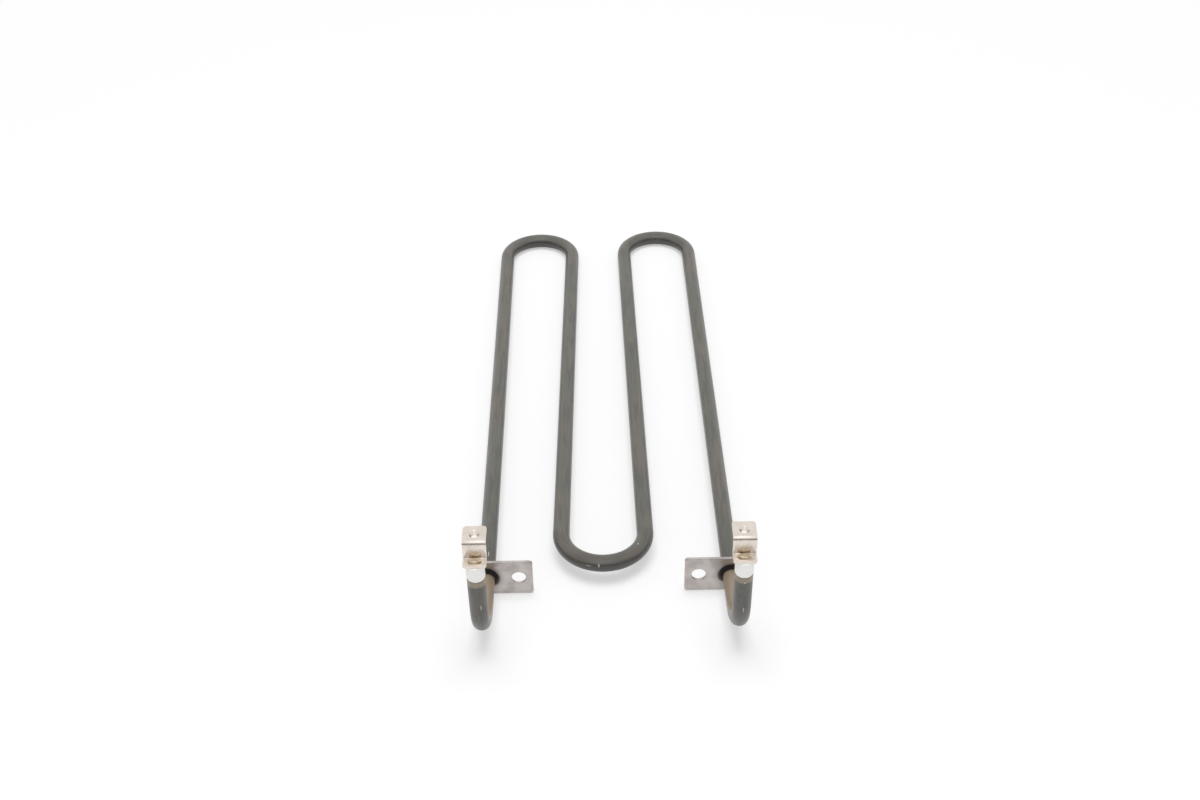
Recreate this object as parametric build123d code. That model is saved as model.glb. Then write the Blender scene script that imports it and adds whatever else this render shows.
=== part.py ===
from build123d import *
import os
from math import atan2, cos, degrees, radians, sin, sqrt

# Tubular heating element: one sheathed tube bent into four legs, with its two ends turned up behind
# mounting brackets and finished with ceramic beads and screw-terminal clips.
# Frame: origin midway between the brackets' screw holes, on the brackets' mating faces. +Y runs along
# the legs to the far bends, +Z is the way the terminals stand, +X is to the right. All in millimetres.

# ---- Driving dimensions: sheath ----
TUBE_DIAMETER = 8.0
TUBE_WALL = 0.7
U_BEND_RADIUS = 20.0            # centreline radius of the three flat bends
NEAR_BEND_SETBACK = 27.5        # near bend's centre behind the brackets' mating faces
FAR_BEND_SPREAD = 36.2          # far bends' centres to either side of the near bend's centre
FAR_BEND_REACH = 253.0          # near bend's centre to the far bends' centres, along Y
RIGHT_BEND_EXTRA = 1.3          # the right far bend goes further: the tube is bent by hand
TOE_IN_LEFT = 0.4               # degrees by which the left outer leg closes in towards its bracket
TOE_IN_RIGHT = -0.5             # the same on the right, where the leg opens out
TERMINAL_REACH = 39.5           # post's axis in front of the brackets' mating faces
TERMINAL_BEND_RADIUS = 20.0     # centreline radius of the bend up to the post
POST_TOP = 39.0                 # sheath's cut end above the plane of the legs

# ---- Driving dimensions: inside the sheath ----
FIT_GAP = 0.02                  # radial room between packed pieces
PIN_DIAMETER = 2.5
COLD_LENGTH = 22.0              # pins end this far behind the brackets' mating faces
COIL_DIAMETER = 3.6
COIL_LAP = 10.0                 # length of pin held in the coil's end turns
OVERRUN = 1.0                   # length by which a cutting shape runs past what it cuts
SEAL_LENGTH = 4.0

# ---- Driving dimensions: bead ----
BEAD_HEIGHT = 8.0
BEAD_BORE_ROOM = 0.1            # radial room round the pin
BEAD_SPIGOT_DIAMETER = 6.2
BEAD_SPIGOT_LENGTH = 2.5
BEAD_EDGE = 0.4

# ---- Driving dimensions: terminal clip ----
CLIP_WIDTH = 10.0
CLIP_SHEET = 1.0
CLIP_HEIGHT = 10.0              # bead's top to the clip's top face
CLIP_TOE = 3.4                  # foot's front edge in front of the pin's axis
CLIP_WALL_SETBACK = 1.9         # wall's front face behind the pin's axis
CLIP_TOP_LENGTH = 10.0          # wall's front face to the top plate's back edge
CLIP_BEND_RADIUS = 0.4          # inside radius of both folds
CLIP_CORNER = 1.5
CLIP_HOLE_DIAMETER = 3.3        # tapping size for an M4 screw
CLIP_HOLE_BACK = 5.0            # hole's axis to the top plate's back edge
CLIP_COLLAR_DIAMETER = 5.6
CLIP_COLLAR_DEPTH = 1.6         # drawn collar below the top plate
CLIP_HOLE_MOUTH = 0.8           # radius rolled into the hole's mouth by the punch

# ---- Driving dimensions: pin's staked head ----
HEAD_WIDTH = 6.0
HEAD_DEPTH = 3.0
HEAD_HEIGHT = 0.9
HEAD_ROUND = 0.5

# ---- Driving dimensions: mounting bracket ----
BRACKET_LENGTH = 28.0
BRACKET_HEIGHT = 20.0
BRACKET_SHEET = 1.2
BRACKET_HOLE_PITCH = 15.0       # tube hole to screw hole
BRACKET_HOLE_DIAMETER = 6.6     # clearance for an M6 screw
BRACKET_CORNER = 1.5
BRAZE_LEG = 0.9                 # fillet of filler metal round the tube, along the tube and the plate

# ---- Derived sizes ----
TUBE_RADIUS = TUBE_DIAMETER / 2
BORE_RADIUS = TUBE_RADIUS - TUBE_WALL
PIN_RADIUS = PIN_DIAMETER / 2
COIL_RADIUS = COIL_DIAMETER / 2
SEAL_TOP = POST_TOP - BEAD_SPIGOT_LENGTH
FILL_TOP = SEAL_TOP - SEAL_LENGTH
BEAD_TOP = POST_TOP + BEAD_HEIGHT
CLIP_FOOT_TOP = BEAD_TOP + CLIP_SHEET
BRACKET_MARGIN = (BRACKET_LENGTH - BRACKET_HOLE_PITCH) / 2
SIDES = {"left": -1, "right": 1}


def left_of(heading):
    """The unit vector to the left of a heading in the plane of the legs."""
    return Vector(-heading.Y, heading.X)


def crossing_leg(start, end, turn):
    """Heading of the leg tangent to opposite sides of two equal bends."""
    span = end - start
    both_radii = 2 * U_BEND_RADIUS
    length = sqrt(span.length ** 2 - both_radii ** 2)
    swing = -turn * degrees(atan2(both_radii, length))
    return span.normalized().rotate(Axis.Z, swing)


def layout():
    """Headings of the four legs and centres of the three bends, shifted so that the outer legs
    cross the brackets' mating faces at equal distances either side of the origin."""
    near = Vector(0, NEAR_BEND_SETBACK)
    far_left = near + Vector(-FAR_BEND_SPREAD, FAR_BEND_REACH)
    far_right = near + Vector(FAR_BEND_SPREAD, FAR_BEND_REACH + RIGHT_BEND_EXTRA)
    headings = [
        Vector(-sin(radians(TOE_IN_LEFT)), cos(radians(TOE_IN_LEFT))),
        crossing_leg(far_left, near, 1),
        crossing_leg(near, far_right, -1),
        Vector(-sin(radians(TOE_IN_RIGHT)), -cos(radians(TOE_IN_RIGHT))),
    ]
    outer_left = crossing_x(far_left + left_of(headings[0]) * U_BEND_RADIUS, headings[0])
    outer_right = crossing_x(far_right + left_of(headings[3]) * U_BEND_RADIUS, headings[3])
    shift = Vector(-(outer_left + outer_right) / 2, 0)
    return headings, [far_left + shift, near + shift, far_right + shift]


def crossing_x(point, heading):
    """Where a line through the point crosses the brackets' mating faces."""
    return point.X - heading.X / heading.Y * point.Y


HEADINGS, BENDS = layout()
LEG_IN = {"left": HEADINGS[0], "right": -HEADINGS[3]}     # from each bracket towards the far bends
FIRST_TANGENT = {
    "left": BENDS[0] + left_of(HEADINGS[0]) * U_BEND_RADIUS,
    "right": BENDS[2] + left_of(HEADINGS[3]) * U_BEND_RADIUS,
}


def leg_point(side, y):
    """The point at the given Y on the straight outer leg of one side."""
    tangent, heading = FIRST_TANGENT[side], LEG_IN[side]
    return tangent + heading * ((y - tangent.Y) / heading.Y)


def post_axis(side):
    """The foot of one post's axis, in the plane of the legs."""
    return leg_point(side, -TERMINAL_REACH)


def flat_bend(centre, heading_in, heading_out, turn):
    """Arc from one heading to the next round a centre; turn is 1 for clockwise."""
    start = centre + left_of(heading_in) * U_BEND_RADIUS * turn
    end = centre + left_of(heading_out) * U_BEND_RADIUS * turn
    middle = centre + (heading_in - heading_out).normalized() * U_BEND_RADIUS
    return ThreePointArc(start, middle, end)


def serpentine():
    """Edges of the three flat bends with the two inner legs between them."""
    first = flat_bend(BENDS[0], HEADINGS[0], HEADINGS[1], 1)
    second = flat_bend(BENDS[1], HEADINGS[1], HEADINGS[2], -1)
    third = flat_bend(BENDS[2], HEADINGS[2], HEADINGS[3], 1)
    return [first, Line(first @ 1, second @ 0), second, Line(second @ 1, third @ 0), third]


def rising_end(side, inner_end, top):
    """Edges from a point on the outer leg through the upward bend to the given height."""
    back = LEG_IN[side]
    foot = post_axis(side)
    radius = TERMINAL_BEND_RADIUS
    bend_start = foot + back * radius
    bend_end = foot + Vector(0, 0, radius)
    middle = foot + (back + Vector(0, 0, 1)) * radius * (1 - sqrt(0.5))
    return [
        Line(inner_end, bend_start),
        ThreePointArc(bend_start, middle, bend_end),
        Line(bend_end, foot + Vector(0, 0, top)),
    ]


def rod(edges, radius):
    """Round bar of the given radius along a chain of tangent edges."""
    path = Wire(edges)
    section = Plane(origin=path @ 0, z_dir=path % 0) * Circle(radius)
    return sweep(section, path=path)


def whole_path(top):
    """Edges from one post's top to the other's."""
    return [*rising_end("left", FIRST_TANGENT["left"], top), *serpentine(),
            *rising_end("right", FIRST_TANGENT["right"], top)]


def heated_path(y):
    """Edges between the outer legs' points at the given Y, round the three flat bends."""
    return [Line(leg_point("left", y), FIRST_TANGENT["left"]), *serpentine(),
            Line(FIRST_TANGENT["right"], leg_point("right", y))]


def sheath_tube():
    """The metal tube that everything else is built on."""
    return rod(whole_path(POST_TOP), TUBE_RADIUS) - rod(whole_path(POST_TOP), BORE_RADIUS)


def cold_end(side, top, room=0):
    """Round bar along one pin's way, from inside the coil to the given height."""
    inner_end = leg_point(side, COLD_LENGTH + room)
    return rod(rising_end(side, inner_end, top), PIN_RADIUS + room)


def resistance_coil():
    """Envelope of the close-wound wire, with a socket for each pin's inner end."""
    coil = rod(heated_path(COLD_LENGTH - COIL_LAP), COIL_RADIUS)
    for side in SIDES:
        coil -= cold_end(side, FILL_TOP, FIT_GAP)
    return coil


def magnesia_fill():
    """Compacted powder round the coil and the pins."""
    fill = rod(whole_path(FILL_TOP), BORE_RADIUS - FIT_GAP)
    fill -= rod(heated_path(COLD_LENGTH - COIL_LAP - FIT_GAP), COIL_RADIUS + FIT_GAP)
    for side in SIDES:
        fill -= cold_end(side, FILL_TOP + OVERRUN, FIT_GAP)
    return fill


def terminal_pin(side):
    """Cold pin from inside the coil up through the bead, staked over the clip's foot."""
    shank = cold_end(side, CLIP_FOOT_TOP)
    head_plane = Plane(post_axis(side) + Vector(0, 0, CLIP_FOOT_TOP))
    head = extrude(head_plane * Ellipse(HEAD_WIDTH / 2, HEAD_DEPTH / 2), HEAD_HEIGHT)
    head = fillet(head.edges().group_by(Axis.Z)[-1], HEAD_ROUND)
    return shank + head


def ring(inner, outer, length, bottom):
    """Upright round collar about the Z axis, with its lower face at the given height."""
    blank = Cylinder(outer, length, align=(Align.CENTER, Align.CENTER, Align.MIN))
    bore = Cylinder(inner, length, align=(Align.CENTER, Align.CENTER, Align.MIN))
    return Pos(0, 0, bottom) * (blank - bore)


def end_seal(side):
    """Resin plug that closes the sheath over the powder."""
    plug = ring(PIN_RADIUS + FIT_GAP, BORE_RADIUS - FIT_GAP, SEAL_LENGTH, FILL_TOP)
    return Location(post_axis(side)) * plug


def ceramic_bead(side):
    """Insulating bead on the sheath's cut end, with a spigot inside the bore."""
    bore = PIN_RADIUS + BEAD_BORE_ROOM
    body = ring(bore, TUBE_RADIUS, BEAD_HEIGHT, POST_TOP)
    rims = body.edges().filter_by(GeomType.CIRCLE).filter_by(lambda edge: edge.radius > bore)
    body = chamfer(rims, BEAD_EDGE)
    spigot = ring(bore, BEAD_SPIGOT_DIAMETER / 2, BEAD_SPIGOT_LENGTH, SEAL_TOP)
    return Location(post_axis(side)) * (body + spigot)


def clip_blank():
    """The folded strip about the pin's axis: foot, wall and top plate, with rounded corners."""
    foot_z = BEAD_TOP + CLIP_SHEET / 2
    top_z = BEAD_TOP + CLIP_HEIGHT - CLIP_SHEET / 2
    wall_y = CLIP_WALL_SETBACK + CLIP_SHEET / 2
    middle = FilletPolyline(
        (0, -CLIP_TOE, foot_z), (0, wall_y, foot_z), (0, wall_y, top_z),
        (0, CLIP_WALL_SETBACK + CLIP_TOP_LENGTH, top_z),
        radius=CLIP_BEND_RADIUS + CLIP_SHEET / 2)
    section = Plane(origin=middle @ 0, x_dir=(1, 0, 0), z_dir=middle % 0) * Rectangle(CLIP_WIDTH, CLIP_SHEET)
    strip = sweep(section, path=middle)
    corners = strip.edges().filter_by(Axis.Z).filter_by(lambda edge: edge.length < 1.01 * CLIP_SHEET)
    return fillet(corners, CLIP_CORNER)


def terminal_clip(side):
    """Folded screw terminal with a tapped, drawn hole in its top plate."""
    top_z = BEAD_TOP + CLIP_HEIGHT
    hole_y = CLIP_WALL_SETBACK + CLIP_TOP_LENGTH - CLIP_HOLE_BACK
    collar_length = CLIP_SHEET + CLIP_COLLAR_DEPTH
    collar = Pos(0, hole_y, 0) * ring(CLIP_HOLE_DIAMETER / 2, CLIP_COLLAR_DIAMETER / 2,
                                      collar_length, top_z - collar_length)
    hole = Pos(0, hole_y, top_z) * Cylinder(CLIP_COLLAR_DIAMETER / 2, 2 * (CLIP_SHEET + OVERRUN))
    clip = clip_blank() - hole + collar
    mouth = clip.edges().filter_by(GeomType.CIRCLE).filter_by(
        lambda edge: abs(edge.radius - CLIP_HOLE_DIAMETER / 2) < 0.01).sort_by(Axis.Z)[-1]
    clip = fillet(mouth, CLIP_HOLE_MOUTH)
    clip -= Pos(0, 0, BEAD_TOP) * Cylinder(PIN_RADIUS + FIT_GAP, 2 * (CLIP_SHEET + OVERRUN))
    return Location(post_axis(side)) * clip


def mounting_bracket(side):
    """Flat plate on the outer leg, with its screw hole on the inner side."""
    inward = -SIDES[side]
    tube_x = leg_point(side, 0).X
    centre_x = tube_x + inward * BRACKET_HOLE_PITCH / 2
    face = Plane(origin=(centre_x, 0, 0), x_dir=(1, 0, 0), z_dir=(0, -1, 0))
    plate = extrude(face * RectangleRounded(BRACKET_LENGTH, BRACKET_HEIGHT, BRACKET_CORNER), BRACKET_SHEET)
    hole = Plane(origin=(tube_x + inward * BRACKET_HOLE_PITCH, 0, 0), z_dir=(0, -1, 0))
    plate -= extrude(hole * Circle(BRACKET_HOLE_DIAMETER / 2), BRACKET_SHEET)
    return plate - leg_cylinder(side, TUBE_RADIUS + FIT_GAP)


def leg_cylinder(side, radius):
    """Round bar along the outer leg, long enough to pass through its bracket."""
    reach = TUBE_DIAMETER
    start = leg_point(side, -reach)
    path = Line(start, leg_point(side, reach))
    return sweep(Plane(origin=start, z_dir=path % 0) * Circle(radius), path=path)


def braze_ring(side):
    """Fillet of filler metal that fixes the bracket to the sheath, on the terminal side."""
    root = leg_point(side, -BRACKET_SHEET)
    axis_plane = Plane(origin=root, x_dir=(0, 0, 1), z_dir=-LEG_IN[side])
    cone = axis_plane * Cone(TUBE_RADIUS + 2 * BRAZE_LEG, TUBE_RADIUS, 2 * BRAZE_LEG)
    behind = Pos(root.X, -BRACKET_SHEET, 0) * Box(
        4 * TUBE_DIAMETER, 2 * TUBE_DIAMETER, 4 * TUBE_DIAMETER,
        align=(Align.CENTER, Align.MIN, Align.CENTER))
    return cone - behind - leg_cylinder(side, TUBE_RADIUS + FIT_GAP)


def build():
    """Every piece by its node name."""
    pieces = {
        "sheath_tube": sheath_tube(),
        "magnesia_fill": magnesia_fill(),
        "resistance_coil": resistance_coil(),
    }
    for side in SIDES:
        pieces[f"{side}_terminal_pin"] = terminal_pin(side)
        pieces[f"{side}_end_seal"] = end_seal(side)
        pieces[f"{side}_ceramic_bead"] = ceramic_bead(side)
        pieces[f"{side}_terminal_clip"] = terminal_clip(side)
        pieces[f"{side}_mounting_bracket"] = mounting_bracket(side)
        pieces[f"{side}_braze_ring"] = braze_ring(side)
    return pieces


os.makedirs("parts", exist_ok=True)
for node, solid in build().items():
    export_step(solid, f"parts/{node}.step")
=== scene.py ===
# %% [markdown]
# # A tubular heating element, dressed for its close-up
# The part comes out of CAD with every size right and every surface plain. This lesson loads it as a
# fixed frame and gives it what a drawing leaves out: oxide on the sheath, a rolled finish on the
# plates, a cut thread in each terminal, pits in the ceramic and a burnt black ring of braze.

# %% Load the fixed frame
import math
import bpy
import bmesh
from mathutils import Matrix, Vector


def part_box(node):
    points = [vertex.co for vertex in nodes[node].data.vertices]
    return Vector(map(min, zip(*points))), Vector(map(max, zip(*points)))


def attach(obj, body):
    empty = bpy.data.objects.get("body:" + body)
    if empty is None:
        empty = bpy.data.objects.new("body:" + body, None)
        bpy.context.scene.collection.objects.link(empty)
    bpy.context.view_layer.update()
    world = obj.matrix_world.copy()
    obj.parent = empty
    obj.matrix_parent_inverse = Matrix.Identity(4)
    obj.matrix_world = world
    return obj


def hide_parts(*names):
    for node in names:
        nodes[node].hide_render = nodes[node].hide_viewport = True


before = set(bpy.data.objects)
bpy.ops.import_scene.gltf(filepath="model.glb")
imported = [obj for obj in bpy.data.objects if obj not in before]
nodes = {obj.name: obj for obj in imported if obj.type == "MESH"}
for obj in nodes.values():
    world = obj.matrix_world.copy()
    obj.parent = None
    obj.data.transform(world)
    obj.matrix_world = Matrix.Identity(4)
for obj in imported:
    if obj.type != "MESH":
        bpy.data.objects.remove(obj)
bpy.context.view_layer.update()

MM = 0.001
for name in sorted(nodes):
    low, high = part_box(name)
    print(name, [round(v / MM, 1) for v in (*low, *high)])

# %% [markdown]
# ## The camera
# The part lies on a table and is seen from the front and above, with its terminals nearest. A camera
# looks along its own -Z, so it is pitched up from straight down, and it is rolled by one degree.

# %% Place the camera
CAMERA_PLACE = Vector((-2.62, -456.52, 449.65)) * MM
CAMERA_PITCH = math.radians(90 - 37.34)
CAMERA_ROLL = math.radians(-1.0)
LENS = 41.33
FILM_WIDTH = 36
camera_data = bpy.data.cameras.new("camera")
camera_data.lens = LENS
camera_data.sensor_width = FILM_WIDTH
camera_data.clip_start = 0.01
camera = bpy.data.objects.new("camera", camera_data)
bpy.context.scene.collection.objects.link(camera)
camera.matrix_world = (Matrix.Translation(CAMERA_PLACE) @ Matrix.Rotation(CAMERA_PITCH, 4, "X")
                       @ Matrix.Rotation(CAMERA_ROLL, 4, "Z"))
bpy.context.scene.camera = camera
print("camera", [round(v, 3) for v in camera.location], "lens", camera_data.lens)

# %% [markdown]
# ## Writing shaders as sums
# A shader is a graph of nodes, and long graphs are slow to wire by hand. Two small classes let a
# material be written as a formula: `Wire` is the output of a node and knows + - * / ** > and abs,
# and `Finish` is a material that adds any node by its type, its settings and its sockets. The
# functions after them are the few steps that every material here repeats.

# %% Wires and finishes


class Wire:
    """The output of one shader node, on which Python's signs add Math nodes."""

    def __init__(self, finish, socket):
        self.finish = finish
        self.socket = socket

    def maths(self, operation, first, second=0.0):
        return self.finish.node("ShaderNodeMath", {"operation": operation}, {0: first, 1: second})

    def __add__(self, other):
        return self.maths("ADD", self, other)

    def __radd__(self, other):
        return self.maths("ADD", other, self)

    def __sub__(self, other):
        return self.maths("SUBTRACT", self, other)

    def __rsub__(self, other):
        return self.maths("SUBTRACT", other, self)

    def __mul__(self, other):
        return self.maths("MULTIPLY", self, other)

    def __rmul__(self, other):
        return self.maths("MULTIPLY", other, self)

    def __truediv__(self, other):
        return self.maths("DIVIDE", self, other)

    def __pow__(self, other):
        return self.maths("POWER", self, other)

    def __gt__(self, other):
        return self.maths("GREATER_THAN", self, other)

    def __abs__(self):
        return self.maths("ABSOLUTE", self)


class Finish:
    """A material being written. Its node() adds any node and gives back the output as a Wire."""

    def __init__(self, name):
        self.material = bpy.data.materials.new(name)
        self.material.use_nodes = True
        self.tree = self.material.node_tree
        self.tree.nodes.clear()

    @classmethod
    def over(cls, tree):
        """The same tools over a node tree that is there already, such as the world's."""
        made = cls.__new__(cls)
        made.tree = tree
        tree.nodes.clear()
        return made

    def node(self, kind, settings=None, sockets=None, output=0):
        """Adds a node by its type, sets it, then gives its sockets values or links."""
        made = self.tree.nodes.new(kind)
        for name, value in (settings or {}).items():
            setattr(made, name, value)
        for name, value in (sockets or {}).items():
            if isinstance(value, Wire):
                self.tree.links.new(value.socket, made.inputs[name])
            else:
                made.inputs[name].default_value = value
        return Wire(self, made.outputs[output])

    def end(self, kind, shader):
        """Links a finished shader to the output node, which closes the graph."""
        last = self.tree.nodes.new(kind)
        self.tree.links.new(shader.socket, last.inputs[0])


print("shader tools ready")

# %% Shared steps of the materials


def shade(red, green, blue):
    """A colour named by its 0 to 255 screen values, as the linear light that shaders use."""
    linear = [((v / 255 + 0.055) / 1.055) ** 2.4 if v > 10 else v / 255 / 12.92
              for v in (red, green, blue)]
    return (*linear, 1.0)


def between(finish, mask, first, second):
    """The first colour where the mask is 0, the second where it is 1."""
    return finish.node("ShaderNodeMix", {"data_type": "RGBA", "clamp_factor": True},
                       {0: mask, 6: first, 7: second}, output=2)


def ramp(finish, value, start, end):
    """0 below start, 1 above end, and smooth between them."""
    return finish.node("ShaderNodeMapRange", {"interpolation_type": "SMOOTHSTEP"},
                       {"Value": value, "From Min": start, "From Max": end})


def grain(finish, place, size, detail=2.0, roughness=0.5, stretch=(1, 1, 1)):
    """Noise between 0 and 1 with patches of about the given size in mm, longer where stretched."""
    scale = [1 / (size * MM * s) for s in stretch]
    scaled = finish.node("ShaderNodeVectorMath", {"operation": "MULTIPLY"}, {0: place, 1: scale})
    return finish.node("ShaderNodeTexNoise", {},
                       {"Vector": scaled, "Scale": 1.0, "Detail": detail, "Roughness": roughness})


def object_place(finish):
    """Where a point lies in the part's own frame, in metres."""
    return finish.node("ShaderNodeTexCoord", output=3)


def split(finish, place):
    """The x, y and z of a place."""
    made = finish.node("ShaderNodeSeparateXYZ", {}, {0: place})
    return [Wire(finish, output) for output in made.socket.node.outputs]


def joined(finish, x, y, z):
    """A place put together from three values."""
    return finish.node("ShaderNodeCombineXYZ", {}, {0: x, 1: y, 2: z})


def bumped(finish, height, depth):
    """Surface relief: height runs from 0 to 1 over the given depth in mm."""
    return finish.node("ShaderNodeBump", {}, {"Height": height, "Distance": depth * MM, "Strength": 1.0})


def surface(finish, **sockets):
    """Ends a finish with the Principled shader, whose sockets are given by name."""
    named = {name.replace("_", " "): value for name, value in sockets.items()}
    shader = finish.node("ShaderNodeBsdfPrincipled", {}, named)
    finish.end("ShaderNodeOutputMaterial", shader)
    print("finish", finish.material.name, "with", len(finish.tree.nodes), "nodes")
    return finish.material


def wear(name, material):
    """Puts a material on a CAD node, through its object's own material slots."""
    piece = nodes[name]
    if not piece.material_slots:
        piece.data.materials.append(None)
    for slot in piece.material_slots:
        slot.link = "OBJECT"
        slot.material = material


# %% [markdown]
# ## Where the tube runs
# The sheath's streaks follow its length, round every bend. Its material therefore needs to know how
# far along and how far across the tube a point lies. The posts are measured from the frame's boxes,
# and the three flat bends are placed by the drawing's own values. On a leg the length runs along Y,
# and on a bend it is an angle.

# %% Measure the tube
sheath_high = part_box("sheath_tube")[1]
TUBE_RADIUS = 4.0 * MM
BEND_RADIUS = 20.0 * MM
BEAD_HEIGHT = 8.0 * MM
POST = {side: (sum(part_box(side + "_ceramic_bead"), Vector()) / 2) for side in ("left", "right")}
BEAD_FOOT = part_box("left_ceramic_bead")[1].z - BEAD_HEIGHT
HOOK_CENTRE = (POST["left"].y + BEND_RADIUS, BEND_RADIUS)
NEAR_CENTRE = (-2.21 * MM, 27.5 * MM)
FAR_SPREAD = 36.2 * MM
FAR_REACH = 253.0 * MM
RIGHT_EXTRA = 1.3 * MM
FAR_LEFT_CENTRE = (NEAR_CENTRE[0] - FAR_SPREAD, NEAR_CENTRE[1] + FAR_REACH)
FAR_RIGHT_CENTRE = (NEAR_CENTRE[0] + FAR_SPREAD, FAR_LEFT_CENTRE[1] + RIGHT_EXTRA)
print("far bends", FAR_LEFT_CENTRE, FAR_RIGHT_CENTRE)
print("posts", POST, "bead foot", round(BEAD_FOOT / MM, 2))

# %% [markdown]
# ## The floor
# The element rests on the lower edges of its two plates and on the far bends, so the table it lies
# on tilts by one degree against the part's own axes. The floor is matt white. To the camera, and in
# reflections, it glows a little so that the ground reads as white paper, while a share of it stays
# plain diffuse paint, which keeps the soft shadows. Half a metre out, past every shadow, the glow
# takes over, so that no grey edge of the floor shows in a low view.

# %% Lay the floor
PLATE_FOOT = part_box("left_mounting_bracket")[0].z
FLOOR_TILT = math.atan2(-TUBE_RADIUS - PLATE_FOOT, sheath_high.y - TUBE_RADIUS)
FLOOR_GAP = 0.05 * MM
FLOOR_SIZE = 8
bpy.ops.object.select_all(action="DESELECT")
bpy.ops.mesh.primitive_plane_add(size=FLOOR_SIZE, location=(0, 0, PLATE_FOOT - FLOOR_GAP),
                                 rotation=(FLOOR_TILT, 0, 0))
floor = bpy.context.object
floor.name = "floor"
print("floor tilt in degrees", round(math.degrees(FLOOR_TILT), 2))

# %% Make the ground white
PAPER_GLOW = 0.45
FADE_START = 0.55
FADE_END = 1.1
paper = Finish("white_paper")
paper_paint = paper.node("ShaderNodeBsdfDiffuse", {}, {"Color": (0.9, 0.9, 0.905, 1)})
paper_glow = paper.node("ShaderNodeEmission", {}, {"Color": (1, 1, 1, 1), "Strength": 1.0})
ray = paper.node("ShaderNodeLightPath").socket.node.outputs
by_camera = Wire(paper, ray["Is Camera Ray"])
watched = by_camera + Wire(paper, ray["Is Glossy Ray"]) + Wire(paper, ray["Is Transmission Ray"])
ground_x, ground_y, _ = split(paper, object_place(paper))
far_out = ramp(paper, (ground_x ** 2 + ground_y ** 2) ** 0.5, FADE_START, FADE_END)
glowing = watched * PAPER_GLOW + by_camera * far_out * (1.0 - PAPER_GLOW)
paper.end("ShaderNodeOutputMaterial",
          paper.node("ShaderNodeMixShader", {}, {0: glowing, 1: paper_paint, 2: paper_glow}))
floor.data.materials.append(paper.material)
print("paper with", len(paper.tree.nodes), "nodes")

# %% [markdown]
# ## The room and the lamp
# Matt surfaces take their light from an even white room. Polished metal needs something to mirror,
# or it looks like grey paint. Mirrored rays therefore see a room with a low dark band in front,
# near the horizon, and a bright strip high above it, which draws the line of light along a fold.
# One wide lamp overhead makes the soft shadow. It is hidden from mirrored rays, because its square
# would burn out the flat tops of the terminals.

# %% Fill the room with light
WORLD_LIGHT = 0.55               # strength of the white room on matt surfaces
FRONT_LIGHT = 0.56               # the same from the front, which is a touch stronger
FRONT_MIRRORED = 0.12            # strength of the dark band in front, as polished metal sees it
BAND_HEIGHT = 0.06               # where the middle of that band lies, as the sine of its height
STRIP_MIRRORED = 0.8             # what the bright strip adds
world = bpy.data.worlds.new("studio")
bpy.context.scene.world = world
world.use_nodes = True
room = Finish.over(world.node_tree)
sky = room.node("ShaderNodeTexCoord", output=0)


def towards(direction, start, end):
    """1 near a direction of the sky and 0 far from it, with the cosines where it starts and ends."""
    facing = room.node("ShaderNodeVectorMath", {"operation": "DOT_PRODUCT"},
                       {0: sky, 1: direction}, output=1)
    return ramp(room, facing, start, end)


from_front = towards((0.0, -0.85, 0.53), 0.35, 0.95)
_, sky_y, sky_z = split(room, sky)
dark_band = ramp(room, abs(sky_z - BAND_HEIGHT), 0.42, 0.2) * ramp(room, sky_y, -0.2, -0.7)
bright_strip = towards((0.0, -0.5, 0.87), 0.93, 0.985)
lit = WORLD_LIGHT - (WORLD_LIGHT - FRONT_LIGHT) * from_front
mirrored = 1.0 - (1.0 - FRONT_MIRRORED) * dark_band + STRIP_MIRRORED * bright_strip
print("room", WORLD_LIGHT, "and", FRONT_LIGHT, "from the front")

# %% Show each kind of ray its own room
ray = room.node("ShaderNodeLightPath").socket.node.outputs
by_camera = Wire(room, ray["Is Camera Ray"])
by_mirror = room.node("ShaderNodeMath", {"operation": "MAXIMUM"},
                      {0: Wire(room, ray["Is Glossy Ray"]), 1: Wire(room, ray["Is Transmission Ray"])})
strength = lit + by_mirror * (mirrored - lit)
strength = strength + by_camera * (1.0 - strength)
room.end("ShaderNodeOutputWorld",
         room.node("ShaderNodeBackground", {}, {"Color": (1, 1, 1, 1), "Strength": strength}))
print("room with", len(room.tree.nodes), "nodes")

# %% Hang the lamp
LAMP_PLACE = Vector((0.0, 0.1, 2.2))
LAMP_SIZE = 1.2
LAMP_WATTS = 32.0
lamp_data = bpy.data.lights.new("overhead", "AREA")
lamp_data.shape = "SQUARE"
lamp_data.size = LAMP_SIZE
lamp_data.energy = LAMP_WATTS
lamp = bpy.data.objects.new("overhead", lamp_data)
bpy.context.scene.collection.objects.link(lamp)
lamp.location = LAMP_PLACE
lamp.visible_glossy = False
bpy.context.scene.view_settings.view_transform = "Standard"
print("lamp at", [round(v, 2) for v in lamp.location], "of", LAMP_WATTS, "W")

# %% [markdown]
# ## A grain that follows the tube
# Draw lines run along a tube and turn with it. Noise on plain x, y and z would cut straight across
# the bends. Each point therefore gets three places: one for a leg, one for a flat bend and one for
# the hook at the end, and on a bend the angle times the radius stands for the length. The noise is
# read at all three, and masks choose between them.

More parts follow.
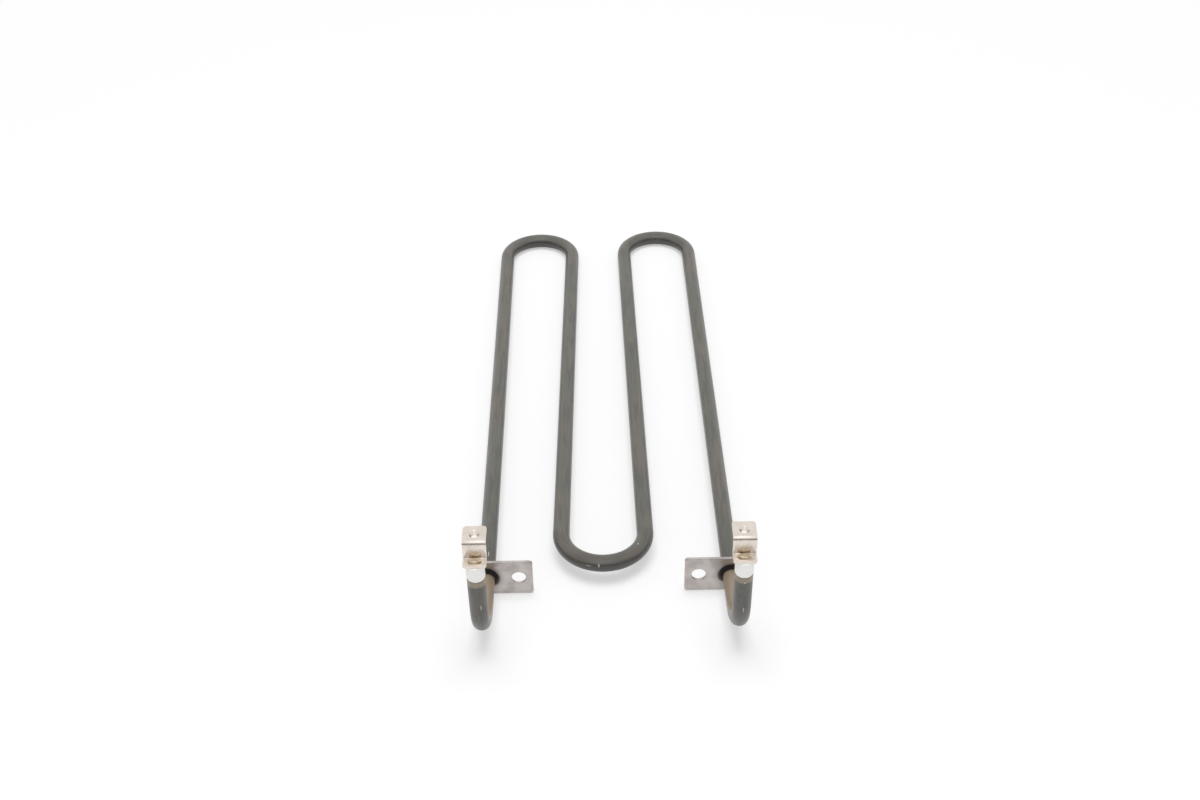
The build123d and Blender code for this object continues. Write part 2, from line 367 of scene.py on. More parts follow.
# %% Find the way along the tube
oxide = Finish("sheath_oxide")
place = object_place(oxide)
x, y, z = split(oxide, place)
MIDWAY = 150 * MM                # from here on, points belong to the far bends
OTHER_NOISE = 0.3                # metres aside, where the right half finds patches of its own
right_half = x > NEAR_CENTRE[0]
far_half = y > MIDWAY
far_x = FAR_LEFT_CENTRE[0] + right_half * (FAR_RIGHT_CENTRE[0] - FAR_LEFT_CENTRE[0])
far_y = FAR_LEFT_CENTRE[1] + right_half * (FAR_RIGHT_CENTRE[1] - FAR_LEFT_CENTRE[1])
from_x = x - (NEAR_CENTRE[0] + far_half * (far_x - NEAR_CENTRE[0]))
from_y = y - (NEAR_CENTRE[1] + far_half * (far_y - NEAR_CENTRE[1]))
bend_reach = (from_x ** 2 + from_y ** 2) ** 0.5
bend_turn = oxide.node("ShaderNodeMath", {"operation": "ARCTAN2"}, {0: from_y, 1: abs(from_x)})
on_leg = joined(oxide, x, y, z)
on_bend = joined(oxide, bend_reach + OTHER_NOISE * right_half, bend_turn * BEND_RADIUS, z)
hook_y = y - HOOK_CENTRE[0]
hook_z = z - HOOK_CENTRE[1]
hook_reach = (hook_y ** 2 + hook_z ** 2) ** 0.5
hook_turn = oxide.node("ShaderNodeMath", {"operation": "ARCTAN2"}, {0: hook_z, 1: hook_y})
on_hook = joined(oxide, x, hook_turn * BEND_RADIUS, hook_reach)
hooked = ramp(oxide, y, -12 * MM, -18 * MM)
inner = ramp(oxide, abs(x - NEAR_CENTRE[0]), 28 * MM, 26 * MM)
bent = ramp(oxide, y, 34 * MM, 24 * MM) * inner + ramp(oxide, y, 276 * MM, 286 * MM)
print("tube's directions take", len(oxide.tree.nodes), "nodes")

# %% Draw noise out along it


def along_tube(size, stretch, detail=2.0, roughness=0.55):
    """Noise drawn out along the tube, taken from the leg, the bend or the hook."""
    reach = (1, stretch, 1)
    leg = grain(oxide, on_leg, size, detail, roughness, reach)
    bend = grain(oxide, on_bend, size, detail, roughness, reach)
    hook = grain(oxide, on_hook, size, detail, roughness, reach)
    flat = leg + bent * (bend - leg)
    return flat + hooked * (hook - flat)


patches = along_tube(9, 3.0)
tint = along_tube(14, 2.5)
lines = along_tube(0.35, 40, detail=3.0)
streaks = along_tube(2.0, 9.0, detail=1.0)
specks = grain(oxide, place, 0.5, detail=4.0, roughness=0.6)
print("five grains bring them to", len(oxide.tree.nodes))

# %% [markdown]
# ## Oxide on the sheath
# The sheath is a nickel alloy that was fired once, so it wears a thin matt film between olive and
# brown. It is laid on as a painter would: one colour over another, each through its own mask. The
# broad tints come first, then the draw lines and dark streaks, then painted shade on the legs behind
# the plates and under the tube, and last the tan that heat left on the hooks and the metal where the
# film was rubbed off.

# %% Lay the film
OLIVE = shade(84, 82, 74)
GREEN = shade(77, 79, 70)
BROWN = shade(92, 85, 75)
DARK = shade(50, 46, 41)
PALE = shade(140, 137, 128)
TAN = shade(152, 134, 112)
DUSK = shade(56, 50, 50)
UNDERSIDE_SHADE = shade(40, 36, 33)
BARE = shade(205, 201, 192)
film = between(oxide, ramp(oxide, tint, 0.36, 0.6), GREEN, OLIVE)
film = between(oxide, ramp(oxide, patches, 0.48, 0.66), film, BROWN)
film = between(oxide, ramp(oxide, lines, 0.58, 0.8) * 0.45, film, PALE)
film = between(oxide, ramp(oxide, lines, 0.42, 0.2) * 0.5, film, DARK)
film = between(oxide, ramp(oxide, specks, 0.6, 0.75) * 0.35, film, DARK)
film = between(oxide, ramp(oxide, streaks, 0.46, 0.64) * 0.45, film, DUSK)
print("film of", len(oxide.tree.nodes), "nodes")

# %% Paint shade on it and let heat mark it
# Painted shade: the legs darken as they near the plates, which keep light off them.
shaded = ramp(oxide, y + 10 * MM * (patches - 0.5), 34 * MM, 4 * MM)
film = between(oxide, shaded * 0.3, film, DARK)
# Painted shade: the tube's underside darkens towards near black, more on the bends, but not on the hooks.
under = ramp(oxide, z - 2.2 * MM * bent, 1.5 * MM, -2.0 * MM) * (1 - hooked)
film = between(oxide, under * (0.45 + 0.4 * bent), film, UNDERSIDE_SHADE)
drifted = y + 8 * MM * (patches - 0.5)
inside = ramp(oxide, hook_reach, 23 * MM, 16 * MM)
heated = ramp(oxide, y, 1 * MM, -1 * MM) * ramp(oxide, drifted + 14 * MM * inside, -27 * MM, -14 * MM)
film = between(oxide, heated * 0.8, film, TAN)
banded = ramp(oxide, z + 2 * MM * (specks - 0.5), BEAD_FOOT - 3.4 * MM, BEAD_FOOT - 2.4 * MM)
film = between(oxide, banded * 0.7, film, TAN)
rubbed = ramp(oxide, along_tube(1.6, 3.5, detail=3.0), 0.74, 0.765)
film = between(oxide, rubbed * 0.7, film, PALE)
print("marks bring it to", len(oxide.tree.nodes))

# %% Nick it here and there
NICKS = (                                   # where each nick lies and how far it reaches, in mm
    ((-4.5, 4.1, 1.9), (0.35, 0.7, 0.9)),
    ((-9.4, 4.7, 1.2), (1.9, 0.8, 0.16)),
    ((14.0, 16.0, 3.9), (0.4, 0.5, 0.4)),
    ((57.0, -43.5, 36.5), (0.4, 0.6, 0.45)),
    ((57.1, -43.5, 20.3), (0.22, 0.7, 1.5)),
    ((-54.8, -43.3, 24.1), (0.2, 0.7, 1.5)),
    ((-55.8, 11.0, 3.9), (0.25, 1.6, 0.5)),
)
chipped = grain(oxide, place, 0.16, detail=4.0, roughness=0.7)
knocked = 0.0
for knock, reach in NICKS:
    away = oxide.node("ShaderNodeVectorMath", {"operation": "SUBTRACT"}, {0: place, 1: Vector(knock) * MM})
    away = oxide.node("ShaderNodeVectorMath", {"operation": "DIVIDE"}, {0: away, 1: Vector(reach) * MM})
    away = oxide.node("ShaderNodeVectorMath", {"operation": "LENGTH"}, {0: away}, output=1)
    knocked = knocked + ramp(oxide, away + 3.0 * (chipped - 0.5), 0.95, 0.8)
film = between(oxide, knocked * 0.7, film, BARE)
print("nicks", len(NICKS))

# %% Finish the sheath
oxide_rough = 0.34 + 0.18 * (patches - 0.5) + 0.12 * (specks - 0.5) - 0.12 * rubbed
sheath_finish = surface(oxide, Base_Color=film, Roughness=oxide_rough, Metallic=0.1, Specular_IOR_Level=1.0,
                        Normal=bumped(oxide, specks + 0.6 * lines, 0.02))
wear("sheath_tube", sheath_finish)

# %% [markdown]
# ## Rolled steel
# The plates are stainless sheet. Rolling leaves a fine grain along x, handling leaves clouds, and
# brazing leaves a brown tint round the tube. At the tube's root a near-black halo is painted shade
# and a painted reflection of the dark tube. The tint is a mask on the distance from the leg, and the
# clouds shift that distance so that its edge isn't a perfect circle.

# %% Write the rolled steel
steel = Finish("rolled_steel")
place = object_place(steel)
x, _, z = split(steel, place)
rolling = grain(steel, place, 0.12, 3.0, 0.6, (60, 1, 1))
cloud = grain(steel, place, 6, 2.0)
speck = grain(steel, place, 0.6, 3.0, 0.6)
LEG_AT_PLATE = abs(sum(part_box("left_braze_ring"), Vector()).x / 2)
from_leg = ((abs(x) - LEG_AT_PLATE) ** 2 + z ** 2) ** 0.5
heat = ramp(steel, from_leg + 1.4 * MM * (cloud - 0.5), 9 * MM, 4 * MM)
SHEET = shade(197, 190, 187)
DULL = shade(166, 159, 157)
SMOKE = shade(142, 130, 122)
ROOT_SHADE = shade(26, 23, 21)
sheet = between(steel, ramp(steel, rolling, 0.35, 0.65) * 0.25, SHEET, shade(170, 166, 162))
sheet = between(steel, ramp(steel, cloud, 0.38, 0.66) * 0.65, sheet, DULL)
sheet = between(steel, ramp(steel, speck, 0.66, 0.78) * 0.3, sheet, SMOKE)
sheet = between(steel, heat * 0.7, sheet, SMOKE)
# Painted shade and reflection: a near-black halo on the plate round the tube's root, reaching further above
# and on the inner side.
fed_side = ramp(steel, z + LEG_AT_PLATE - abs(x), -3 * MM, 3 * MM)
root_shade = ramp(steel, from_leg + 1.0 * MM * (cloud - 0.5) - 0.7 * MM * fed_side, 6.2 * MM, 5.0 * MM)
sheet = between(steel, root_shade * 0.8, sheet, ROOT_SHADE)
steel_rough = 0.36 + 0.14 * (cloud - 0.5) + 0.1 * (rolling - 0.5) + 0.1 * heat
steel_finish = surface(steel, Base_Color=sheet, Roughness=steel_rough, Metallic=1.0,
                       Normal=bumped(steel, rolling + 0.5 * speck, 0.008))

# %% [markdown]
# ## Nickel plate
# The terminals are plated steel, warm and bright, with fine scratches along their length. Staking
# the pin scorched the foot round its head, and that brown ring also stands for painted shade in the
# nook between the head and the wall. The ring is an ellipsoid round the head's top, kept to the foot
# by a mask on the height, so that the wall behind keeps its shine.

# %% Write the nickel plate
nickel = Finish("nickel_plate")
place = object_place(nickel)
x, y, z = split(nickel, place)
cloud = grain(nickel, place, 3.5, 2.0)
scratch = grain(nickel, place, 0.1, 3.0, 0.6, (1, 25, 25))
speck = grain(nickel, place, 0.4, 3.0, 0.6)
HEAD_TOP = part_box("left_terminal_pin")[1].z
across = abs(x) - abs(POST["left"].x)
depth = y - POST["left"].y
from_head = ((across / 3.4) ** 2 + (depth / 1.9) ** 2 + ((z - HEAD_TOP) / 1.4) ** 2) ** 0.5
on_foot = ramp(nickel, z, HEAD_TOP + 0.1 * MM, HEAD_TOP - 0.6 * MM)
# Heat tint and painted shade: a brown ring round the pin's head on the foot, also standing for the shade in
# the nook by the wall.
scorch_and_shade = ramp(nickel, from_head + 0.4 * MM * (cloud - 0.5), 1.2 * MM, 0.95 * MM) * on_foot
BRIGHT = shade(228, 219, 210)
TARNISHED = shade(208, 199, 188)
SCRATCHED = shade(170, 160, 148)
SCORCH_AND_SHADE = shade(150, 126, 94)
plating = between(nickel, ramp(nickel, cloud, 0.35, 0.7) * 0.5, BRIGHT, TARNISHED)
plating = between(nickel, ramp(nickel, scratch, 0.6, 0.75) * 0.3, plating, SCRATCHED)
plating = between(nickel, scorch_and_shade * 0.6, plating, SCORCH_AND_SHADE)
nickel_rough = 0.27 + 0.16 * (cloud - 0.5) + 0.08 * (scratch - 0.5) + 0.12 * scorch_and_shade
nickel_finish = surface(nickel, Base_Color=plating, Roughness=nickel_rough, Metallic=1.0,
                        Normal=bumped(nickel, scratch + speck, 0.006))

# %% [markdown]
# ## Pin, ceramic and braze
# The pins are steel that heat turned straw. The beads are unglazed ceramic, almost white, with a
# few pits. The braze burnt to a black crust with brown specks and hardly any shine. Each is two
# colours mixed by a cloud, with finer specks for its gloss and relief.

# %% Write the pin's steel
pin = Finish("tinted_pin")
place = object_place(pin)
cloud = grain(pin, place, 1.6, 3.0)
speck = grain(pin, place, 0.35, 3.0, 0.6)
metal = between(pin, ramp(pin, cloud, 0.35, 0.65), shade(220, 207, 187), shade(186, 168, 141))
pin_finish = surface(pin, Base_Color=metal, Roughness=0.45 + 0.2 * (speck - 0.5), Metallic=0.9,
                     Normal=bumped(pin, cloud + speck, 0.03))

# %% Write the ceramic
ceramic = Finish("bead_ceramic")
place = object_place(ceramic)
cloud = grain(ceramic, place, 2.2, 3.0)
speck = grain(ceramic, place, 0.22, 4.0, 0.65)
pit = ramp(ceramic, grain(ceramic, place, 0.5, 2.0), 0.7, 0.78)
clay = between(ceramic, ramp(ceramic, cloud, 0.35, 0.7) * 0.5, shade(251, 250, 247), shade(244, 243, 239))
clay = between(ceramic, pit * 0.35, clay, shade(206, 202, 195))
bead_finish = surface(ceramic, Base_Color=clay, Roughness=0.5 + 0.2 * (speck - 0.5), Metallic=0.0,
                      Normal=bumped(ceramic, speck - 0.8 * pit, 0.02))

# %% Write the braze
braze = Finish("burnt_braze")
place = object_place(braze)
cloud = grain(braze, place, 0.9, 3.0)
speck = grain(braze, place, 0.2, 4.0, 0.6)
crust = between(braze, ramp(braze, cloud, 0.4, 0.7), shade(7, 7, 6), shade(30, 26, 22))
crust = between(braze, ramp(braze, speck, 0.62, 0.74) * 0.5, crust, shade(74, 62, 48))
braze_finish = surface(braze, Base_Color=crust, Roughness=0.7 + 0.25 * (speck - 0.5), Metallic=0.0,
                       Specular_IOR_Level=0.3, Normal=bumped(braze, cloud + 0.5 * speck, 0.12))

# %% [markdown]
# ## What is packed inside
# Powder, coil and seals show only when the part is cut open or its pieces are taken apart. They
# keep their drawn shapes and get plain but true finishes, and the coil's bar gets its turns as
# bands of colour and relief.

# %% Write the hidden fillings
powder = Finish("magnesia_powder")
place = object_place(powder)
speck = grain(powder, place, 0.3, 4.0)
packed = between(powder, speck, shade(226, 224, 216), shade(204, 200, 190))
powder_finish = surface(powder, Base_Color=packed, Roughness=0.9 + 0.1 * speck,
                        Normal=bumped(powder, speck, 0.05))

wire = Finish("wound_wire")
place = object_place(wire)
turns = wire.node("ShaderNodeTexWave", {"wave_type": "BANDS", "bands_direction": "Y"},
                  {"Vector": place, "Scale": 600.0, "Distortion": 0.0})
wound = between(wire, turns, shade(74, 70, 66), shade(150, 146, 140))
wire_finish = surface(wire, Base_Color=wound, Roughness=0.35 + 0.1 * turns, Metallic=1.0,
                      Normal=bumped(wire, turns, 0.2))

resin = Finish("seal_resin")
place = object_place(resin)
speck = grain(resin, place, 0.4, 3.0)
cured = between(resin, speck, shade(120, 60, 36), shade(150, 84, 52))
resin_finish = surface(resin, Base_Color=cured, Roughness=0.25 + 0.1 * speck,
                       Normal=bumped(resin, speck, 0.03))

# %% Dress the nodes that keep their shape
wear("magnesia_fill", powder_finish)
wear("resistance_coil", wire_finish)
for side in ("left", "right"):
    wear(side + "_end_seal", resin_finish)
    wear(side + "_terminal_pin", pin_finish)
print("dressed as drawn: the fill, the coil, the seals and the pins")

# %% [markdown]
# ## Modelling by hand, in code
# Every new piece starts as a primitive of the right size in the right place. It is then opened in
# edit mode, where faces and edges are picked by where they lie, and shaped with the same operators
# that a hand would call. These helpers open a piece, pick parts of it, cut it and finish it.

# %% Helpers for modelling


def clear_selection():
    """Leaves edit mode and lets go of everything."""
    if bpy.context.mode != "OBJECT":
        bpy.ops.object.mode_set(mode="OBJECT")
    bpy.ops.object.select_all(action="DESELECT")


def activate(piece):
    """Makes a piece the only one that operators act on."""
    clear_selection()
    piece.select_set(True)
    bpy.context.view_layer.objects.active = piece


def opened(name):
    """Names the primitive just added, writes its place into its mesh and opens it in edit mode."""
    piece = bpy.context.object
    piece.name = name
    piece.data.name = name
    bpy.ops.object.transform_apply(location=True, rotation=True, scale=True)
    bpy.ops.object.mode_set(mode="EDIT")
    bpy.ops.mesh.select_mode(type="VERT")
    return piece


def pick(piece, kind, wanted):
    """Selects only the verts, edges or faces that pass the test, and says how many there are."""
    bpy.ops.mesh.select_mode(type={"verts": "VERT", "edges": "EDGE", "faces": "FACE"}[kind])
    bpy.ops.mesh.select_all(action="DESELECT")
    mesh = bmesh.from_edit_mesh(piece.data)
    found = [part for part in getattr(mesh, kind) if wanted(part)]
    for part in found:
        part.select_set(True)
    mesh.select_flush_mode()
    bmesh.update_edit_mesh(piece.data)
    return len(found)


def middle(edge):
    """The point half way along an edge."""
    return (edge.verts[0].co + edge.verts[1].co) / 2


def pointing(edge):
    """The direction of an edge."""
    return (edge.verts[1].co - edge.verts[0].co).normalized()


def near(first, second, slack=0.02 * MM):
    """Whether two lengths are the same, give or take the slack."""
    return abs(first - second) < slack


print("picking tools ready")

# %% Helpers for cutting and finishing


def modify(piece, kind, **settings):
    """Adds a modifier, sets it and applies it."""
    activate(piece)
    modifier = piece.modifiers.new(kind.lower(), kind)
    for name, value in settings.items():
        setattr(modifier, name, value)
    bpy.ops.object.modifier_apply(modifier=modifier.name)


def cut(piece, tool, operation="DIFFERENCE"):
    """Takes the tool's shape away from the piece, or joins it on, and throws the tool away."""
    modify(piece, "BOOLEAN", operation=operation, solver="EXACT", object=tool)
    bpy.data.objects.remove(tool)


def smoothed(piece, angle=35):
    """Shades a piece smooth, except across edges sharper than the angle in degrees."""
    activate(piece)
    bpy.ops.object.shade_smooth_by_angle(angle=math.radians(angle))


def copied(piece, name, move=(0, 0, 0), mirror=False):
    """A copy with a mesh of its own, moved, or mirrored left to right through the origin."""
    activate(piece)
    bpy.ops.object.duplicate()
    twin = bpy.context.object
    twin.name = name
    twin.data.name = name
    bpy.ops.object.mode_set(mode="EDIT")
    bpy.ops.mesh.select_all(action="SELECT")
    if mirror:
        bpy.ops.transform.resize(value=(-1, 1, 1), center_override=(0, 0, 0))
        bpy.ops.mesh.flip_normals()
    else:
        bpy.ops.transform.translate(value=move)
    bpy.ops.object.mode_set(mode="OBJECT")
    return twin


def dressed(piece, finish, node=None):
    """Gives a finished piece its material and its body, and hides the node that it stands for."""
    piece.data.materials.clear()
    piece.data.materials.append(finish)
    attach(piece, "root")
    if node:
        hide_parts(node)
    print(piece.name, len(piece.data.vertices), "points,", len(piece.data.polygons), "faces")


print("cutting tools ready")

# %% [markdown]
# ## The mounting plates
# Each plate is a blanked piece of stainless sheet. The punch rolls the front edge over and leaves a
# crisp one behind, and that rolled edge is what catches the light. So the box gets its corners, then
# its two holes, then a wide bevel in front and a narrow one at the back. A cut across its middle
# joins each hole to the outline, because a bevel on a face with loose holes leaves slivers.

# %% Blank the left plate
plate_low, plate_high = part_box("left_mounting_bracket")
plate_centre = (plate_low + plate_high) / 2
HALF_PITCH = 7.5 * MM                       # from the plate's middle to the screw hole and the tube
PLATE_CORNER = 1.5 * MM
SCREW_HOLE = 3.3 * MM
TUBE_HOLE = TUBE_RADIUS + 0.02 * MM
DRILL_DEPTH = 8 * MM
clear_selection()
bpy.ops.mesh.primitive_cube_add(size=1, location=plate_centre, scale=plate_high - plate_low)
plate = opened("left_plate")
pick(plate, "edges", lambda edge: abs(pointing(edge).y) > 0.9)
bpy.ops.mesh.bevel(offset=PLATE_CORNER, segments=8)
bpy.ops.mesh.select_all(action="SELECT")
bpy.ops.mesh.bisect(plane_co=plate_centre, plane_no=(0, 0, 1))
for side_step, radius in ((HALF_PITCH, SCREW_HOLE), (-HALF_PITCH, TUBE_HOLE)):
    clear_selection()
    bpy.ops.mesh.primitive_cylinder_add(vertices=96, radius=radius, depth=DRILL_DEPTH,
                                        location=plate_centre + Vector((side_step, 0, 0)),
                                        rotation=(math.pi / 2, 0, 0))
    cut(plate, bpy.context.object)
print("plate", [round(v / MM, 2) for v in plate.dimensions])

# %% Roll its edges
ROLLED = 0.55 * MM
CRISP = 0.1 * MM


def on_rim(edge, y):
    """Whether an edge lies at this y on the outline or round a hole."""
    flat = near(edge.verts[0].co.y, y) and near(edge.verts[1].co.y, y)
    return flat and any(abs(face.normal.y) < 0.5 for face in edge.link_faces)


activate(plate)
bpy.ops.object.mode_set(mode="EDIT")
pick(plate, "edges", lambda edge: on_rim(edge, plate_low.y))
bpy.ops.mesh.bevel(offset=ROLLED, segments=4)
pick(plate, "edges", lambda edge: on_rim(edge, plate_high.y))
bpy.ops.mesh.bevel(offset=CRISP, segments=2)
bpy.ops.object.mode_set(mode="OBJECT")
smoothed(plate)
right_plate = copied(plate, "right_plate", mirror=True)
dressed(plate, steel_finish, "left_mounting_bracket")
dressed(right_plate, steel_finish, "right_mounting_bracket")

# %% [markdown]
# ## The braze
# Filler metal ran round the tube in front of each plate and burnt black. It is thicker above and on
# the inner side, where it was fed in. A circle on the tube's skin is extruded outwards in steps that
# follow a hollow fillet, then pulled out where the filler gathered. Two rounds of displacement
# roughen it, one for its lumps and one for its crust.

# %% Run the braze round the left tube
tube_centre = plate_centre - Vector((HALF_PITCH, 0, 0))
front = plate_low.y
STEPS = (                                                      # radius, and y from the front, in mm
    (3.95, -1.5), (4.1, -1.0), (4.3, -0.6), (4.6, -0.3),       # down the hollow of the fillet
    (4.95, -0.1), (5.2, -0.01), (5.25, 0.3), (3.9, 0.3),       # out to its toe and into the hole
)
first_reach, first_y = STEPS[0]
clear_selection()
bpy.ops.mesh.primitive_circle_add(vertices=96, radius=first_reach * MM, rotation=(math.pi / 2, 0, 0),
                                  location=(tube_centre.x, front + first_y * MM, 0))
fillet = opened("left_braze")
bpy.ops.mesh.select_all(action="SELECT")
for (reach, y_now), (next_reach, y_next) in zip(STEPS, STEPS[1:]):
    bpy.ops.mesh.extrude_edges_move()
    grow = next_reach / reach
    pivot = (tube_centre.x, front + y_now * MM, 0)
    bpy.ops.transform.resize(value=(grow, 1, grow), center_override=pivot)
    bpy.ops.transform.translate(value=(0, (y_next - y_now) * MM, 0))
pick(fillet, "edges", lambda edge: edge.is_boundary)
bpy.ops.mesh.bridge_edge_loops()
bpy.ops.mesh.select_all(action="SELECT")
bpy.ops.mesh.normals_make_consistent(inside=False)
print("braze rings", len(STEPS))

# %% Let it gather and roughen
FED_FROM = Vector((0.6, 0, 0.8))            # the filler came from above and from the inner side
GATHERED = (0.35 * MM, 0, 0.6 * MM)
ROUGHNESSES = ((1.5 * MM, 0.5 * MM), (0.5 * MM, 0.16 * MM))       # each one's size and height


def gathered(vert):
    """Whether a point lies on the outer part of the side that the filler was fed from."""
    out = Vector((vert.co.x - tube_centre.x, 0, vert.co.z))
    return out.length > 4.4 * MM and out.normalized().dot(FED_FROM) > 0.85


pick(fillet, "verts", gathered)
bpy.ops.transform.translate(value=GATHERED, use_proportional_edit=True,
                            proportional_edit_falloff="SMOOTH", proportional_size=5.5 * MM)
bpy.ops.object.mode_set(mode="OBJECT")
modify(fillet, "SUBSURF", levels=2, render_levels=2)
for lump, height in ROUGHNESSES:
    lumps = bpy.data.textures.new("lumps", "CLOUDS")
    lumps.noise_scale = lump
    modify(fillet, "DISPLACE", texture=lumps, strength=height, mid_level=0.5, texture_coords="LOCAL")
smoothed(fillet, 180)
right_fillet = copied(fillet, "right_braze", mirror=True)
dressed(fillet, braze_finish, "left_braze_ring")
dressed(right_fillet, braze_finish, "right_braze_ring")

# %% [markdown]
# ## The terminal clips
# A clip is one strip of plated sheet, folded twice. It starts as the flat foot under the pin's head.
# Its back edge is spun up into the first fold, extruded into the wall, spun back into the second
# fold and extruded into the top plate. Then it gets its thickness, its collar and its holes. The
# second fold is the wider one, and draws a broad line of light across the clip.

# %% Lay out the strip
clip_low, clip_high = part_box("left_terminal_clip")
post = POST["left"]
SHEET_HALF = 0.5 * MM                       # half the sheet's thickness
WALL_SETBACK = 1.9 * MM                     # from the pin's axis to the wall's front
FOLD = 0.9 * MM
TOP_FOLD = 2.0 * MM
CLIP_CORNER = 1.5 * MM
wall_y = post.y + WALL_SETBACK + SHEET_HALF
foot_z = clip_low.z + SHEET_HALF
top_z = clip_high.z - SHEET_HALF
print("strip's foot, top and wall", [round(v / MM, 2) for v in (foot_z, top_z, wall_y)])

# %% Fold the left strip
clear_selection()
bpy.ops.mesh.primitive_plane_add(size=1, location=(post.x, (clip_low.y + wall_y - FOLD) / 2, foot_z))
strip = bpy.context.object
strip.scale = (clip_high.x - clip_low.x, wall_y - FOLD - clip_low.y, 1)
opened("left_clip")


def at_edge(edge, y, z):
    """Whether an edge runs across the strip at this y and z."""
    return abs(pointing(edge).x) > 0.9 and near(middle(edge).y, y) and near(middle(edge).z, z)


pick(strip, "edges", lambda edge: at_edge(edge, wall_y - FOLD, foot_z))
fold_centre = (post.x, wall_y - FOLD, foot_z + FOLD)
bpy.ops.mesh.spin(steps=8, angle=math.radians(-90), center=fold_centre, axis=(1, 0, 0))
pick(strip, "edges", lambda edge: at_edge(edge, wall_y, foot_z + FOLD))
bpy.ops.mesh.extrude_edges_move(TRANSFORM_OT_translate={"value": (0, 0, top_z - foot_z - FOLD - TOP_FOLD)})
pick(strip, "edges", lambda edge: at_edge(edge, wall_y, top_z - TOP_FOLD))
fold_centre = (post.x, wall_y + TOP_FOLD, top_z - TOP_FOLD)
bpy.ops.mesh.spin(steps=16, angle=math.radians(90), center=fold_centre, axis=(1, 0, 0))
pick(strip, "edges", lambda edge: at_edge(edge, wall_y + TOP_FOLD, top_z))
bpy.ops.mesh.extrude_edges_move(TRANSFORM_OT_translate={"value": (0, clip_high.y - wall_y - TOP_FOLD, 0)})
print("folded", round((top_z - foot_z) / MM, 2), "mm high")

# %% Round its corners and give it its thickness
corners = pick(strip, "verts", lambda vert: near(vert.co.y, clip_low.y) or near(vert.co.y, clip_high.y))
bpy.ops.mesh.bevel(offset=CLIP_CORNER, segments=8, affect="VERTICES")
bpy.ops.mesh.select_all(action="SELECT")
bpy.ops.mesh.remove_doubles(threshold=0.001 * MM)
bpy.ops.mesh.normals_make_consistent(inside=False)
bpy.ops.object.mode_set(mode="OBJECT")
modify(strip, "SOLIDIFY", thickness=2 * SHEET_HALF, offset=0.0)
print("strip", [round(v / MM, 2) for v in strip.dimensions], "corners", corners)

# %% Draw the collar and drill the pin's hole
HOLE_BACK = 5.0 * MM                        # from the top plate's end to the screw's axis
COLLAR_RADIUS = 2.8 * MM
COLLAR_DEPTH = 2.2 * MM
COLLAR_SINK = 1.5 * MM                      # from the clip's top to the collar's middle
PIN_HOLE = 1.27 * MM
MOUTH_FOOT = 1.6 * MM                       # the countersink's radius at its foot
MOUTH_TOP = 2.75 * MM                       # and above the clip, where the tool ends
hole_y = clip_high.y - HOLE_BACK
clear_selection()
bpy.ops.mesh.primitive_cylinder_add(vertices=64, radius=COLLAR_RADIUS, depth=COLLAR_DEPTH,
                                    location=(post.x, hole_y, clip_high.z - COLLAR_SINK))
cut(strip, bpy.context.object, "UNION")
clear_selection()
bpy.ops.mesh.primitive_cylinder_add(vertices=48, radius=PIN_HOLE, depth=4 * MM,
                                    location=(post.x, post.y, clip_low.z))
cut(strip, bpy.context.object)
clear_selection()
bpy.ops.mesh.primitive_cone_add(vertices=64, radius1=MOUTH_FOOT, radius2=MOUTH_TOP, depth=1.0 * MM,
                                location=(post.x, hole_y, clip_high.z - 0.1 * MM))
cut(strip, bpy.context.object)
print("clip faces", len(strip.data.polygons))

# %% [markdown]
# ## Cutting the thread
# The terminal takes an M4 screw, and the thread in its collar shows from above. As in the workshop it
# is cut with a tap: one V of the thread is wound up a helix into a solid screw, which is then taken
# away from the clip. The V is narrow enough to leave flat crests at the tapping size. The Screw
# modifier turns about the origin, so the V is moved there first and the finished tap back again.

# %% Wind a tap
PITCH = 0.7 * MM
CORE = 1.65 * MM                            # the tapping hole's radius
THREAD_DEPTH = 0.36 * MM
FLANK = 0.3 * MM                            # each flank's height
CREST = 0.08 * MM                           # the flat between the flanks
TURNS = 9
TAP_REACH = 4.6 * MM                        # how far below the clip's top the tap starts
WELD = 0.0005 * MM
LAND = PITCH - 2 * FLANK - CREST            # what is left of a turn at the core
clear_selection()
bpy.ops.mesh.primitive_plane_add(size=MM, location=(post.x + CORE, hole_y, clip_high.z - TAP_REACH))
tap = opened("tap")
bpy.ops.mesh.select_all(action="SELECT")
bpy.ops.mesh.merge(type="CENTER")
for outward, upward in ((THREAD_DEPTH, FLANK), (0, CREST), (-THREAD_DEPTH, FLANK), (0, LAND)):
    bpy.ops.mesh.extrude_region_move(TRANSFORM_OT_translate={"value": (outward, 0, upward)})
bpy.ops.mesh.select_all(action="SELECT")
bpy.ops.transform.translate(value=(-post.x, -hole_y, 0))
bpy.ops.object.mode_set(mode="OBJECT")
modify(tap, "SCREW", axis="Z", angle=math.tau, screw_offset=PITCH, iterations=TURNS, steps=48,
       render_steps=48, use_merge_vertices=True, merge_threshold=WELD)
print("thread", len(tap.data.polygons), "faces")

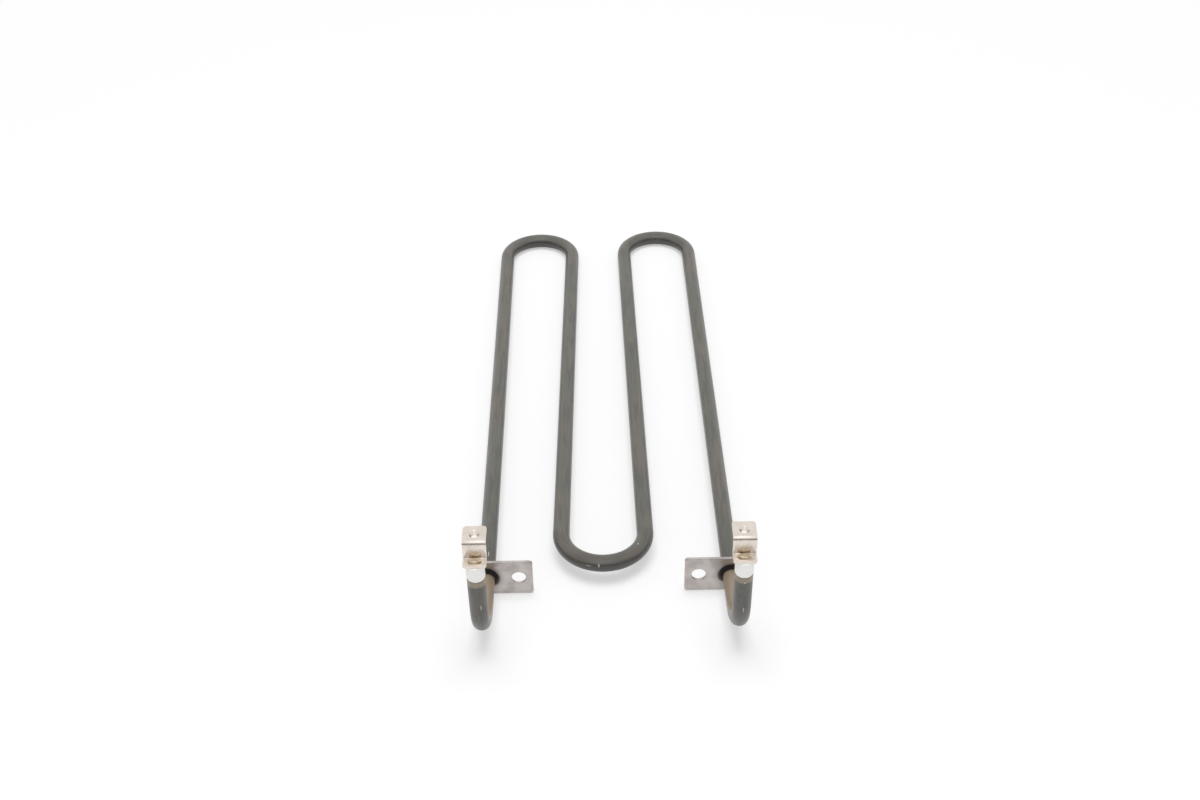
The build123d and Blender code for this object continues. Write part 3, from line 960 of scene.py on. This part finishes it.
# %% Close its ends and cut with it
MID_SINK = 1.3 * MM                         # the tap's middle lies this far below the clip's top
bpy.ops.object.mode_set(mode="EDIT")
bpy.ops.mesh.select_all(action="SELECT")
bpy.ops.mesh.remove_doubles(threshold=WELD)
mid_height = clip_high.z - MID_SINK
for low_end in (True, False):
    pick(tap, "edges", lambda edge: edge.is_boundary and (middle(edge).z < mid_height) == low_end)
    bpy.ops.mesh.extrude_edges_move()
    bpy.ops.mesh.merge(type="CENTER")
bpy.ops.mesh.select_all(action="SELECT")
bpy.ops.mesh.normals_make_consistent(inside=False)
bpy.ops.transform.translate(value=(post.x, hole_y, 0))
bpy.ops.object.mode_set(mode="OBJECT")
print("tap", len(tap.data.polygons), "faces", [round(v / MM, 2) for v in tap.dimensions])
cut(strip, tap)

# %% Break the clip's edges
BROKEN_EDGE = 0.12 * MM
modify(strip, "BEVEL", width=BROKEN_EDGE, segments=2, limit_method="ANGLE", angle_limit=math.radians(50))
smoothed(strip, 40)
right_clip = copied(strip, "right_clip", move=(POST["right"].x - post.x, 0, 0))
dressed(strip, nickel_finish, "left_terminal_clip")
dressed(right_clip, nickel_finish, "right_terminal_clip")

# %% [markdown]
# ## The beads
# A bead is pressed from ceramic powder and fired, so it is round but never sharp. Its half section is
# drawn as a line of short extrusions, from the bore over the top and the rim and down to the
# spigot, closed along the bore, and spun about the pin.

# %% Turn the left bead
bead_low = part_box("left_ceramic_bead")[0]
BORE = 1.36
BEAD_LINE = (                                                  # radius and height, in mm
    (BORE, 10.5), (3.35, 10.5), (3.8, 10.32), (4.0, 9.85),     # over the top and its rim
    (4.0, 3.1), (3.8, 2.6), (3.2, 2.5), (3.1, 2.4),            # down the outside to the shoulder
    (3.1, 0.3), (2.8, 0.0), (BORE, 0.0),                       # round the spigot
)
first_reach, first_height = BEAD_LINE[0]
clear_selection()
bpy.ops.mesh.primitive_plane_add(size=MM, location=(post.x + first_reach * MM, post.y,
                                                    bead_low.z + first_height * MM))
bead = opened("left_bead")
bpy.ops.mesh.select_all(action="SELECT")
bpy.ops.mesh.merge(type="CENTER")
for (reach, height), (next_reach, next_height) in zip(BEAD_LINE, BEAD_LINE[1:]):
    step = ((next_reach - reach) * MM, 0, (next_height - height) * MM)
    bpy.ops.mesh.extrude_region_move(TRANSFORM_OT_translate={"value": step})
pick(bead, "verts", lambda vert: near(vert.co.x, post.x + BORE * MM))
bpy.ops.mesh.edge_face_add()
print("half section", len(BEAD_LINE), "points")

# %% Spin it and soften its rims
bpy.ops.mesh.select_all(action="SELECT")
bpy.ops.mesh.spin(steps=96, angle=math.tau, center=(post.x, post.y, 0), axis=(0, 0, 1))
bpy.ops.mesh.select_all(action="SELECT")
bpy.ops.mesh.remove_doubles(threshold=0.001 * MM)
bpy.ops.mesh.normals_make_consistent(inside=False)
bpy.ops.object.mode_set(mode="OBJECT")
modify(bead, "BEVEL", width=BROKEN_EDGE, segments=2, limit_method="ANGLE", angle_limit=math.radians(25))
smoothed(bead, 60)
right_bead = copied(bead, "right_bead", move=(POST["right"].x - post.x, 0, 0))
dressed(bead, bead_finish, "left_ceramic_bead")
dressed(right_bead, bead_finish, "right_ceramic_bead")
